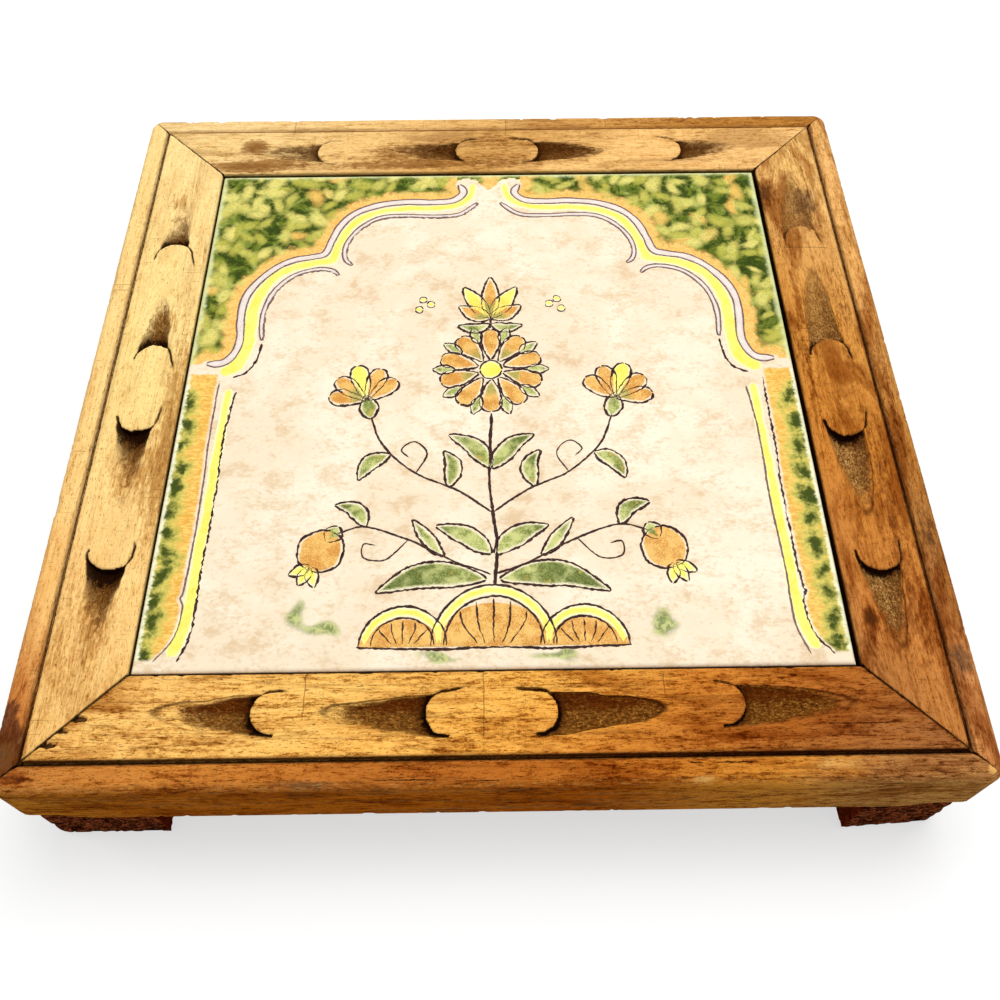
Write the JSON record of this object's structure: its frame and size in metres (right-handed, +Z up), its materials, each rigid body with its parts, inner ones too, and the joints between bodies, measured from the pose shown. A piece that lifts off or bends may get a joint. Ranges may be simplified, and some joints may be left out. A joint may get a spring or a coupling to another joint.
{
  "type": "tile trivet",
  "caption": "Square trivet: a glazed ceramic tile set level in a mitred, gouge-carved wooden frame that stands on a rough-sawn block under each corner.",
  "frame": {"origin": "middle of the footprint, on the surface that the feet stand on", "axes": "+X to the right and +Y away from the viewer, as the tile's picture is seen upright; +Z up, the shortest side"},
  "size_m": [0.2032, 0.204, 0.0355],
  "materials": {
    "front_rail_wood": "stained orange-brown, thin satin varnish, worn",
    "right_rail_wood": "stained red-brown, thin satin varnish, worn",
    "back_rail_wood": "stained honey brown, thin satin varnish, worn",
    "left_rail_wood": "pale honey stain, thin satin varnish, worn",
    "glazed_tile": "glossy mottled cream glaze with dark outlined coloured cells",
    "adhesive": "matte",
    "hardboard": "unfinished hardboard",
    "foot_wood": "dark stain over rough-sawn wood",
    "nail_steel": "bright wire nail, dulled"
  },
  "bodies": {
    "root": {"front_rail": "front_rail_wood", "right_rail": "right_rail_wood", "back_rail": "back_rail_wood", "left_rail": "left_rail_wood", "tile": "glazed_tile", "tile_adhesive": "adhesive", "backing_board": "hardboard", "front_left_foot": "foot_wood", "front_right_foot": "foot_wood", "back_right_foot": "foot_wood", "back_left_foot": "foot_wood", "foot_nails": "nail_steel", "mitre_nails": "nail_steel", "board_brads": "nail_steel"}
  },
  "joints": []
}
